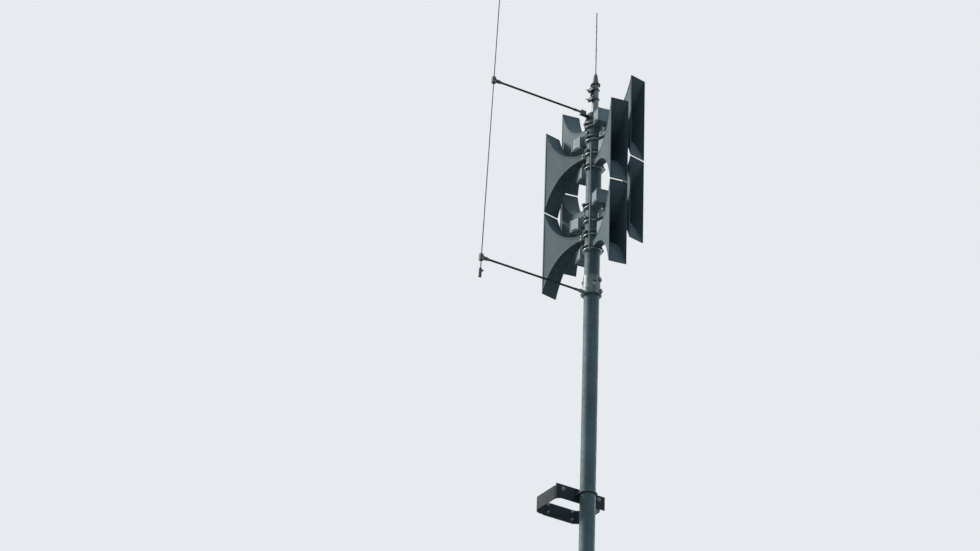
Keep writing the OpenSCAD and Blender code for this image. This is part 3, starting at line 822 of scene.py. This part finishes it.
def driver_trim(z, angle):
    """Gasket, cover screws, raised frame, sealant round the duct and, as painted shade, dark slabs in the
    slots of one driver.
    """
    horn_out, across = column_frame(angle)
    out = -horn_out
    centre = on_mast(0, 0, z)
    end = centre + DRIVER_REACH * out
    half_w, half_h = DRIVER_W / 2, DRIVER_H / 2
    gasket = [loop_bead(centre + (DRIVER_REACH - COVER_T) * out, out, across, half_w - GASKET_IN,
                        half_h - GASKET_IN, DRIVER_ROUND, BEAD_R)]
    screws = [pan_head(end + s * (half_w - COVER_SCREW_IN) * across + v * (half_h - COVER_SCREW_IN) * UP, out,
                       COVER_SCREW_R) for s, v in CORNERS]
    raised = [loop_bead(end, out, across, half_w - FRAME_IN, half_h - FRAME_IN, FRAME_CORNER, BEAD_R)]
    slot_u = (DRIVER_BACK + DRIVER_REACH - COVER_T) / 2
    slots = [slab(centre + slot_u * out + side * (half_w - SLOT_IN) * across + (SLOT_UP - half_h) * UP,
                  SLOT_HALF_L * out, SLOT_HALF_H * UP, SLOT_HALF_T * across) for side in SIDES]
    sealant = [loop_bead(centre + u * out, out, across, SEALANT_HALF, SEALANT_HALF, SEALANT_CORNER, SEALANT_R)
               for u in SEALANT_US]
    return gasket, screws, raised, sealant, slots


for z, angle, tail in PLACES:
    gasket, screws, raised, sealant, slots = driver_trim(z, angle)
    piece("cover_gasket_" + tail, gasket, GASKET)
    piece("cover_screws_" + tail, screws, BOLT_ZINC)
    piece("cover_rib_" + tail, raised, DRIVER_PAINT)
    piece("duct_sealant_" + tail, sealant, GASKET)
    piece("slot_shade_" + tail, slots, PAINTED_HOLE_SHADE)


# Sleeves: washers under the ear bolts, a thin lip at the foot
EAR_WASHER = (0.0095, 0.0018)
LIP_R = 0.0860
LIP_PROFILE = [(COLLAR_R - 0.001, 0.009), (LIP_R - 0.001, 0.006), (LIP_R, 0.005), (LIP_R, -0.001),
               (LIP_R - 0.001, -0.002), (COLLAR_R - 0.001, -0.002)]


def ear_washers(z, azimuth, radius):
    """Washers on both outer faces of a pair of ears; the bolt runs square to the ears' own direction."""
    out, across = column_frame(azimuth)
    centre = on_mast(0, 0, z) + (radius + EAR_L / 2) * out
    return [washer(centre + side * EAR_FACE * across, side * across, *EAR_WASHER) for side in SIDES]


for z, angle, tail in PLACES:
    washers = ear_washers(z, angle - 90, RIB_R) + ear_washers(z, angle + 90, RIB_R)
    piece("ear_washers_" + tail, washers, BOLT_ZINC)
    lip = turned(LIP_PROFILE, on_mast(0, 0, z - COLLAR_H / 2), UP, 56)
    piece("sleeve_lip_" + tail, [lip], LIP_ZINC)


# Lower collar: washers at its ears, clamping bolts and painted shade of bores in its waist
WAIST_BOLT = (0.014, 0.010, 0.007)
WAIST_BOLT_AZIMUTHS = (-108, 72)
WAIST_BOLT_Z = 1.952
WAIST_HOLE_AZIMUTHS = (-104, 76)
WAIST_HOLE_Z = 1.977
WAIST_HOLE_PROFILE = [(0.0095, -0.002), (0.0095, 0.0006), (0.0085, 0.0009)]


def lower_collar_trim():
    """Washers on the collar's four pairs of ears and two bolts that clamp its waist."""
    parts = []
    for azimuth in (COLLAR_TURN + 90, COLLAR_TURN - 90):
        parts += ear_washers(FOOT_EAR_Z, azimuth, FOOT_R)
        parts += ear_washers(WAIST_EAR_Z, azimuth, WAIST_R)
    for azimuth in WAIST_BOLT_AZIMUTHS:
        out, _ = column_frame(azimuth)
        parts += bolt_set(on_mast(0, 0, WAIST_BOLT_Z) + WAIST_R * out, out, *WAIST_BOLT)
    return parts


def waist_holes():
    """Dark discs on the collar's waist beside its clamping bolts, painted as the shade in bores."""
    parts = []
    for azimuth in WAIST_HOLE_AZIMUTHS:
        out, _ = column_frame(azimuth)
        parts.append(turned(WAIST_HOLE_PROFILE, on_mast(0, 0, WAIST_HOLE_Z) + WAIST_R * out, out, 20))
    return parts


piece("collar_bolts_lower", lower_collar_trim(), HIGHLIT_BOLT_ZINC)
piece("collar_waist_hole_shade", waist_holes(), PAINTED_HOLE_SHADE)


# Conduit and stay on the mast's left side
CONDUIT_AZIMUTH = -139
CONDUIT_LOW = 2.262
CONDUIT_HIGH = 3.335
CONDUIT_OUT = 0.0975
CONDUIT_R = 0.0062
CONDUIT_STEPS = 25
CLIP_COUNT = 6
CLIP_POINTS = 16
CLIP_FROM_END = (0.05, 0.04)
CLIP_LEG = [(-0.006, -0.002), (0.006, -0.002), (0.006, 0.002), (-0.006, 0.002)]
CLIP_RING = [(-0.0012, -0.006), (0.0012, -0.006), (0.0012, 0.006), (-0.0012, 0.006)]
CLIP_RING_OVER = 0.0008
STAY_POINTS = np.array([[-0.078, 0.0, 3.600], [-0.0925, 0.0, 3.585], [-0.1005, 0.0, 3.560],
                        [-0.1035, 0.0, 3.530], [-0.1015, 0.0, 3.500], [-0.0935, 0.0, 3.478],
                        [-0.080, 0.0, 3.466]])
STAY_R = 0.0042
STAY_STEPS = 40
STAY_ROUNDS = 4
STAY_LUG_Z = 3.464
STAY_LUG_L = 0.013
STAY_LUG_PROFILE = [(0.017, -0.004), (0.017, 0.010), (0.014, STAY_LUG_L)]
STAY_BOLT_SIZE = 0.009


def conduit():
    """A thin pipe that runs down the mast on stand-off clips, clear of the ribs."""
    out, across = column_frame(CONDUIT_AZIMUTH)
    heights = np.linspace(CONDUIT_LOW, CONDUIT_HIGH, CONDUIT_STEPS)
    path = on_mast(0, 0, 0) + CONDUIT_OUT * out + heights[:, None] * UP
    pipes = [sweep(path, circle(CONDUIT_R, 14), across)]
    t = np.linspace(0, 2 * np.pi, CLIP_POINTS, endpoint=False)
    round_pipe = np.cos(t)[:, None] * out + np.sin(t)[:, None] * across
    clips = []
    for z in np.linspace(CONDUIT_LOW + CLIP_FROM_END[0], CONDUIT_HIGH - CLIP_FROM_END[1], CLIP_COUNT):
        base = on_mast(0, 0, z)
        leg = np.array([base + r * out for r in (MAST_R - 0.001, CONDUIT_OUT - 0.004)])
        clips.append(sweep(leg, CLIP_LEG, UP))
        ring = base + CONDUIT_OUT * out + (CONDUIT_R + CLIP_RING_OVER) * round_pipe
        clips.append(sweep(ring, CLIP_RING, UP, closed=True))
    return pipes, clips


def stay():
    """A bent rod from the upper strap's brace to a lug on the mast, smoothed by means of neighbours."""
    corners = np.arange(len(STAY_POINTS))
    t = np.linspace(0, len(STAY_POINTS) - 1, STAY_STEPS)
    smooth = np.column_stack([np.interp(t, corners, STAY_POINTS[:, k]) for k in range(3)])
    for _ in range(STAY_ROUNDS):
        smooth[1:-1] = (smooth[:-2] + 2 * smooth[1:-1] + smooth[2:]) / 4
    lug = turned(STAY_LUG_PROFILE, on_mast(-MAST_R, 0, STAY_LUG_Z), LEFT, 20)
    return [sweep(smooth + on_mast(0, 0, 0), circle(STAY_R, 10), BACK), lug]


pipes, clips = conduit()
piece("conduit", pipes, CONDUIT_GREY)
piece("conduit_clips", clips, CONDUIT_GREY)
piece("stay", stay(), CLAMP_METAL)
stay_bolt = bolt_set(on_mast(-MAST_R - STAY_LUG_L, 0, STAY_LUG_Z), LEFT, STAY_BOLT_SIZE)
piece("stay_bolt", stay_bolt, BOLT_ZINC)


# Arms and rod: crimped sleeves on the arms' ends, screws in the blocks that hold the rod
ARM_SLEEVES = [(-0.215, ARM_TOP_Z), (-0.990, ARM_TOP_Z), (-0.170, ARM_LOW_Z), (-1.055, ARM_LOW_Z)]
SLEEVE_L = 0.030
SLEEVE_R = ARM_R + 0.0025
CRIMP_R = ARM_R + 0.0012
SLEEVE_PROFILE = [(ARM_R, 0), (SLEEVE_R, 0.001), (SLEEVE_R, SLEEVE_L * 0.6), (CRIMP_R, SLEEVE_L * 0.68),
                  (SLEEVE_R, SLEEVE_L * 0.76), (SLEEVE_R, SLEEVE_L - 0.001), (ARM_R, SLEEVE_L)]
ROD_LEAN = math.atan((ROD_REACH_LOW - ROD_REACH_TOP) / (ARM_TOP_Z - ARM_LOW_Z))
ROD_AXIS = np.array([math.sin(ROD_LEAN), 0.0, math.cos(ROD_LEAN)])
ROD_SCREW = (0.008, 0.005)
ROD_SCREW_SIDE = 0.017
ROD_SCREW_LIFT = 0.018


def rod_clamp_trim(reach, z):
    """Two screws through each half of the block that holds the rod."""
    parts = []
    centre = on_mast(-reach, 0, z)
    for side in SIDES:
        for lift in (-ROD_SCREW_LIFT, ROD_SCREW_LIFT):
            spot = centre + side * np.array([0, ROD_SCREW_SIDE, 0]) + lift * ROD_AXIS
            parts += bolt_set(spot, [0, side, 0], *ROD_SCREW)
    return parts


arm_sleeves = [turned(SLEEVE_PROFILE, on_mast(x, 0, z), [1, 0, 0], 20) for x, z in ARM_SLEEVES]
piece("arm_sleeves", arm_sleeves, CLAMP_METAL)
rod_screws = rod_clamp_trim(ROD_REACH_TOP, ARM_TOP_Z) + rod_clamp_trim(ROD_REACH_LOW, ARM_LOW_Z)
piece("rod_clamp_screws", rod_screws, BOLT_ZINC)


# Antenna: rubber, boot and ferrules, a strip behind the saddles
RUBBER_PROFILE = [(0.0425, 0), (0.0432, 0.002), (0.0432, 0.010), (0.0425, 0.012)]
BOOT_UP = 0.0118
BOOT_R = 0.0272
BOOT_TAPER = 0.0105
BOOT_FOOT = [(0.0275, 0.0)]
BOOT_RIB = [(0, 0), (0.0012, 0.002), (0.0012, 0.006), (-0.001, 0.008)]
BOOT_RIB_ZS = np.arange(0.006, 0.080, 0.017)
BOOT_TOP = [(0.0160, 0.090), (0.0150, 0.094), (0.0100, 0.095)]
WHIP_NUT = [(0.0112, -0.010), (0.0125, -0.009), (0.0125, -0.003), (0.0095, 0.001), (0.0075, 0.010),
            (0.0058, 0.014)]
FERRULE = [(0.0055, 0), (0.0068, 0.001), (0.0068, 0.009), (0.0055, 0.010)]
FERRULE_UPS = (0.25, 0.44)
STRIP_X = -POLE_R - 0.0085
STRIP_HALF_X = 0.0055
STRIP_HALF_Y = 0.013
STRIP_BELOW_SADDLE = 0.006
STRIP_BELOW_FLANGE = 0.003


def antenna_trim():
    """Rubber round the flange, boot over the taper, nut and ferrules, all turned about the mast's axis."""
    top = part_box("antenna_flange")[1][2]
    flange_z = top - ANTENNA_NECK_L - TAPER_H - FLANGE_T
    rubber = [turned(RUBBER_PROFILE, on_mast(0, 0, flange_z), UP, 40)]
    ribs = []
    for z in BOOT_RIB_ZS:
        r = BOOT_R - BOOT_TAPER * z / TAPER_H
        ribs += [(r + out, z + up) for out, up in BOOT_RIB]
    boot = [turned(BOOT_FOOT + ribs + BOOT_TOP, on_mast(0, 0, flange_z + BOOT_UP), UP, 36)]
    metal = [turned(WHIP_NUT, on_mast(0, 0, top), UP, 24)]
    metal += [turned(FERRULE, on_mast(0, 0, top + up), UP, 16) for up in FERRULE_UPS]
    return rubber, boot, metal


def clamp_plate():
    """A strip along the pole that joins the two saddles and reaches up to the flange."""
    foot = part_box("antenna_pole_clamps")[0][2] - STRIP_BELOW_SADDLE
    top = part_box("antenna_pole")[1][2] - STRIP_BELOW_FLANGE
    middle = on_mast(STRIP_X, 0, (foot + top) / 2)
    return [slab(middle, [STRIP_HALF_X, 0, 0], [0, STRIP_HALF_Y, 0], [0, 0, (top - foot) / 2])]


rubber, boot, metal = antenna_trim()
piece("antenna_flange_rubber", rubber, ANTENNA_BLACK)
piece("antenna_boot", boot, BOOT_GREY)
piece("antenna_ferrules", metal, ROD_METAL)
piece("antenna_clamp_plate", clamp_plate(), CLAMP_BLACK)


# Mast cap: a bead round the pole, a weld round the rim
CAP_BEAD_R = 0.0035
CAP_BEAD_RING_R = POLE_R + 0.002
CAP_BEAD_UP = 0.0005
CAP_WELD_R = 0.0022
CAP_WELD_RING_R = MAST_R + 0.0002
CAP_WELD_DOWN = 0.008
CAP_RIPPLE = 0.004
CAP_RIPPLES = 24
CAP_POINTS = 48


def cap_sealant():
    """A bead where the pole enters the mast's cap, and a weld round its rim, its ring's radius a sine."""
    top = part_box("mast_top_cap")[1][2]
    t = np.linspace(0, 2 * np.pi, CAP_POINTS, endpoint=False)
    ring = np.column_stack([np.cos(t), np.sin(t), np.zeros(CAP_POINTS)])
    bead_path = on_mast(0, 0, top + CAP_BEAD_UP) + CAP_BEAD_RING_R * ring
    ripple = (1 + CAP_RIPPLE * np.sin(CAP_RIPPLES * t))[:, None]
    weld_path = on_mast(0, 0, top - CAP_WELD_DOWN) + CAP_WELD_RING_R * ring * ripple
    return ([sweep(bead_path, circle(CAP_BEAD_R, 8), UP, closed=True)],
            [sweep(weld_path, circle(CAP_WELD_R, 8), UP, closed=True)])


bead, weld = cap_sealant()
piece("cap_sealant", bead, GASKET)
piece("cap_weld", weld, WELD)


# Wall brackets: anchors, bolts through the face bar, the U-bolt's washers and threads, weld beads
HOOP_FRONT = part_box("hoop_upper")[0][1]
ANCHOR = (0.012, 0.010, 0.016)
FACE_BOLT = (0.016, 0.011, 0.010)
FACE_BOLT_X = 0.177
FACE_BOLT_UP = 0.020
UBOLT_WASHER = (0.0165, 0.0026)
UBOLT_PITCH = 0.002
UBOLT_THREAD = (0.017, 0.001)
UBOLT_TURN = [(0.0078, 0), (0.0086, 0.0007), (0.0086, 0.0011), (0.0078, 0.0018)]
BAR_WELD_X = (0.110, 0.150)
BAR_WELD_R = 0.0028
BAR_WELD_OVER = 0.0006
BAR_WELD_RIPPLE = 0.0006
BAR_WELD_WAVE = 1.7
BAR_WELD_POINTS = 40


def bracket_bolts(z):
    """Four anchors that hold the hoop and its plate to the wall."""
    parts = []
    for s, v in CORNERS:
        parts += bolt_set([s * ANCHOR_X / 2, -HOOP_BACK, z + v * ANCHOR_Z / 2], FRONT, *ANCHOR)
    return parts


def face_bolts(z):
    """One bolt at each end of the face bar."""
    parts = []
    for x in (-FACE_BOLT_X, FACE_BOLT_X):
        parts += bolt_set([x - HOOP_OFF, HOOP_FRONT, z + FACE_BOLT_UP], FRONT, *FACE_BOLT)
    return parts


def ubolt_trim(z):
    """Washers under the U-bolt's nuts and rolled threads on its ends, one turned ridge to a pitch."""
    parts = []
    rear = HOOP_FRONT + 2 * BAR_T
    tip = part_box("ubolt_upper")[1][1]
    for x in (-UBOLT_X, UBOLT_X):
        parts.append(washer([x, rear, z], BACK, *UBOLT_WASHER))
        for y in np.arange(tip - UBOLT_THREAD[0], tip - UBOLT_THREAD[1], UBOLT_PITCH):
            parts.append(turned(UBOLT_TURN, [x, y, z], BACK, 18))
    return parts


def bracket_welds(z):
    """Beads where the face bar meets the hoop's corners, along its two long edges, their height a sine."""
    parts = []
    y = np.full(BAR_WELD_POINTS, HOOP_FRONT + BAR_T)
    swell = 1 + BAR_WELD_RIPPLE * np.sin(np.arange(BAR_WELD_POINTS) * BAR_WELD_WAVE)
    for s, v in CORNERS:
        x = np.linspace(s * BAR_WELD_X[0], s * BAR_WELD_X[1], BAR_WELD_POINTS) - HOOP_OFF
        path = np.column_stack([x, y, (z + v * (HOOP_H / 2 + BAR_WELD_OVER)) * swell])
        parts.append(sweep(path, circle(BAR_WELD_R, 8), UP))
    return parts


for level_name, z in BRACKETS.items():
    piece("anchor_bolts_" + level_name, bracket_bolts(z), BOLT_ZINC)
    piece("face_bolts_" + level_name, face_bolts(z), BOLT_ZINC)
    piece("ubolt_trim_" + level_name, ubolt_trim(z), BOLT_ZINC)
    piece("bracket_welds_" + level_name, bracket_welds(z), WELD)


# Camera, where the photo was taken from: its place, its level direction, its tilts and its lens
CAMERA_FROM_MAST = np.array([-16.370, -24.855, -14.454])
VIEW_ACROSS = np.array([0.5255, 0.8508, 0.0])
PITCH = math.radians(29.0)
ROLL = math.radians(1.90)
LENS = 146.94

scene = bpy.context.scene
camera_data = bpy.data.cameras.new("camera")
camera_data.lens = LENS
camera_data.sensor_width = 36.0
camera_data.clip_end = 400.0
camera_data.clip_start = 0.5
camera = bpy.data.objects.new("camera", camera_data)
scene.collection.objects.link(camera)
look = unit(VIEW_ACROSS) * math.cos(PITCH) + UP * math.sin(PITCH)
level_right = unit(np.cross(look, UP))
level_up = np.cross(level_right, look)
right = level_right * math.cos(ROLL) + level_up * math.sin(ROLL)
above = -level_right * math.sin(ROLL) + level_up * math.cos(ROLL)
camera.matrix_world = Matrix(np.vstack([
    np.column_stack([right, above, -look, CAMERA_FROM_MAST + on_mast(0, 0, 0)]), [0, 0, 0, 1]]).tolist())
scene.camera = camera


# Floor, backdrop and light: what is shown, and what lights the object; the sky's light is (height, colour)
FLOOR_Z = -16.0
FLOOR_HALF = 120.0
FLOOR_SHOWN = (0.84, 0.82, 0.79, 1)
FLOOR_LIGHT = (0.05, 0.05, 0.05, 1)
BACKDROP_SHOWN = (0.80, 0.83, 0.86, 1)
LIGHT_BELOW = (0.35, (0.026, 0.038, 0.045, 1))
LIGHT_ABOVE = (0.85, (0.27, 0.38, 0.51, 1))


def by_ray(tree, light, shown):
    """The shown shader where a ray comes from the camera, a glossy or a clear surface; else the light's."""
    mixed = node(tree, "ShaderNodeMixShader")
    path = node(tree, "ShaderNodeLightPath")
    first = math_node(tree, "MAXIMUM", path.outputs["Is Camera Ray"], path.outputs["Is Glossy Ray"])
    seen = math_node(tree, "MAXIMUM", first, path.outputs["Is Transmission Ray"])
    for output, socket in zip((seen, light.outputs[0], shown.outputs[0]), mixed.inputs):
        link(tree, output, socket)
    return mixed.outputs[0]


def make_floor():
    """A square under the mast, pale where it is seen and dark to the light."""
    mesh = bpy.data.meshes.new("floor")
    corners = [(-1, -1), (1, -1), (1, 1), (-1, 1)]
    mesh.from_pydata([(x * FLOOR_HALF, y * FLOOR_HALF, FLOOR_Z) for x, y in corners], [], [(0, 1, 2, 3)])
    floor = bpy.data.objects.new("floor", mesh)
    scene.collection.objects.link(floor)
    material = bpy.data.materials.new("floor")
    material.use_nodes = True
    tree = material.node_tree
    tree.nodes.remove(tree.nodes["Principled BSDF"])
    shown = fill(tree, node(tree, "ShaderNodeBsdfDiffuse"), Color=FLOOR_SHOWN)
    light = fill(tree, node(tree, "ShaderNodeBsdfDiffuse"), Color=FLOOR_LIGHT)
    link(tree, by_ray(tree, light, shown), tree.nodes["Material Output"].inputs["Surface"])
    mesh.materials.append(material)


def make_world():
    """Light that turns from dark below to blue above, behind a pale backdrop."""
    world = bpy.data.worlds.new("studio")
    world.use_nodes = True
    tree = world.node_tree
    tree.nodes.clear()
    coords = node(tree, "ShaderNodeTexCoord")
    parts = node(tree, "ShaderNodeSeparateXYZ")
    link(tree, coords.outputs["Generated"], parts.inputs[0])
    ramp = node(tree, "ShaderNodeValToRGB")
    for element, (height, color) in zip(ramp.color_ramp.elements, (LIGHT_BELOW, LIGHT_ABOVE)):
        element.position = height
        element.color = color
    link(tree, times(tree, math_node(tree, "ADD", parts.outputs["Z"], 1.0), 0.5), ramp.inputs[0])
    light = fill(tree, node(tree, "ShaderNodeBackground"), Color=ramp.outputs[0])
    shown = fill(tree, node(tree, "ShaderNodeBackground"), Color=BACKDROP_SHOWN)
    out = node(tree, "ShaderNodeOutputWorld")
    link(tree, by_ray(tree, light, shown), out.inputs["Surface"])
    scene.world = world


def make_lamp(name, direction, strength, spread, tint):
    """A sun that shines from the given direction; its spread, in degrees, softens the shadows."""
    data = bpy.data.lights.new(name, "SUN")
    data.energy = strength
    data.angle = math.radians(spread)
    data.color = tint
    lamp = bpy.data.objects.new(name, data)
    lamp.rotation_mode = "QUATERNION"
    lamp.rotation_quaternion = Vector(direction).to_track_quat("Z", "Y")
    scene.collection.objects.link(lamp)


make_floor()
make_world()
make_lamp("soft key", (-0.530, 0.585, 0.614), strength=2.8, spread=14, tint=(1.0, 0.985, 0.95))
make_lamp("soft fill", (0.5, -0.75, 0.43), strength=0.14, spread=60, tint=(0.93, 0.97, 1.0))
make_lamp("soft rim", (0.890, 0.260, 0.375), strength=0.75, spread=30, tint=(0.85, 0.94, 1.0))
scene.view_settings.view_transform = "Standard"
